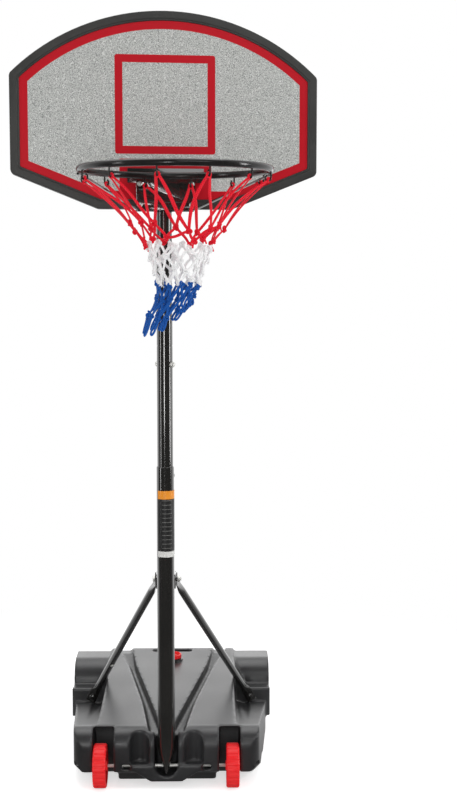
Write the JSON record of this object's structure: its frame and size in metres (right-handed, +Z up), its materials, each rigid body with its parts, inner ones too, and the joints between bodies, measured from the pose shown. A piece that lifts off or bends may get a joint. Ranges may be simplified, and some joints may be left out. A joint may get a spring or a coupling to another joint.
{
  "type": "basketball stand",
  "caption": "Free-standing junior basketball stand: wheeled ballast tank, telescopic braced pole, arched backboard, rim with hooks and a three-colour net.",
  "frame": {"origin": "centre of the tank's flat underside, on the floor", "axes": "+Z up, -Y towards the player and the hoop's side, +X to the right as the player faces the board"},
  "size_m": [0.7092, 1.1334, 1.855],
  "materials": {
    "black_steel": "gloss black powder coat",
    "zinc": "bright zinc plate",
    "tank_plastic": "satin blow-moulded black",
    "black_plastic": "satin black",
    "red_plastic": "glossy red",
    "seal_rubber": "matte black",
    "frame_plastic": "satin charcoal",
    "panel_print": "speckled grey print with red bands",
    "sticker": "satin printed film",
    "red_cord": "braided polyester",
    "white_cord": "braided polyester",
    "blue_cord": "braided polyester"
  },
  "bodies": {
    "base": {"tank": "tank_plastic", "axle": "zinc", "axle_cap_left": "black_plastic", "axle_cap_right": "black_plastic", "lower_pole": "black_steel", "lock_boss": "black_plastic", "height_label": "sticker", "strut_bracket": "black_steel", "strut_left": "black_steel", "strut_right": "black_steel", "strut_bolt": "zinc", "strut_nut": "zinc", "strut_foot_bolt_left": "black_steel", "strut_foot_bolt_right": "black_steel", "strut_screw_left": "zinc", "strut_screw_right": "zinc"},
    "mast": {"middle_pole": "black_steel", "top_pole": "black_steel", "joint_bolt": "zinc", "joint_nut": "zinc", "pole_cap": "black_plastic", "pole_strap": "black_steel", "strap_screw": "zinc", "board_frame": "frame_plastic", "board_panel": "panel_print", "rim_plate": "black_steel", "rim_ring": "black_steel", "brace_left": "black_steel", "brace_right": "black_steel", "rim_bolt_low_left": "zinc", "rim_bolt_low_right": "zinc", "rim_bolt_high_left": "zinc", "rim_bolt_high_right": "zinc", "rim_nut_low_left": "zinc", "rim_nut_low_right": "zinc", "rim_nut_high_left": "zinc", "rim_nut_high_right": "zinc", "net_red": "red_cord", "net_white": "white_cord", "net_blue": "blue_cord"},
    "wheel_left": {"wheel_left": "red_plastic"},
    "wheel_right": {"wheel_right": "red_plastic"},
    "lock_knob": {"lock_knob": "black_plastic"},
    "filler_seal": {"filler_seal": "seal_rubber"},
    "filler_cap": {"filler_cap": "red_plastic"}
  },
  "joints": [
    {"name": "mast_height", "type": "slide", "parent": "base", "child": "mast", "axis": [0, 0, 1], "range_m": [-0.235, 0.25]},
    {"name": "wheel_left_spin", "type": "hinge", "parent": "base", "child": "wheel_left", "pos_m": [-0.1625, -0.3425, 0.0535], "axis": [1, 0, 0], "continuous": true},
    {"name": "wheel_right_spin", "type": "hinge", "parent": "base", "child": "wheel_right", "pos_m": [0.1625, -0.3425, 0.0535], "axis": [1, 0, 0], "continuous": true},
    {"name": "lock_turn", "type": "hinge", "parent": "base", "child": "lock_knob", "pos_m": [0, -0.3055, 0.765], "axis": [0, 1, 0], "range_deg": [0, 720]},
    {"name": "filler_lift", "type": "slide", "parent": "base", "child": "filler_seal", "axis": [0, 0, 1], "range_m": [0, 0.05]},
    {"name": "filler_turn", "type": "hinge", "parent": "filler_seal", "child": "filler_cap", "pos_m": [0, 0.1325, 0.183], "axis": [0, 0, 1], "range_deg": [0, 540]}
  ]
}
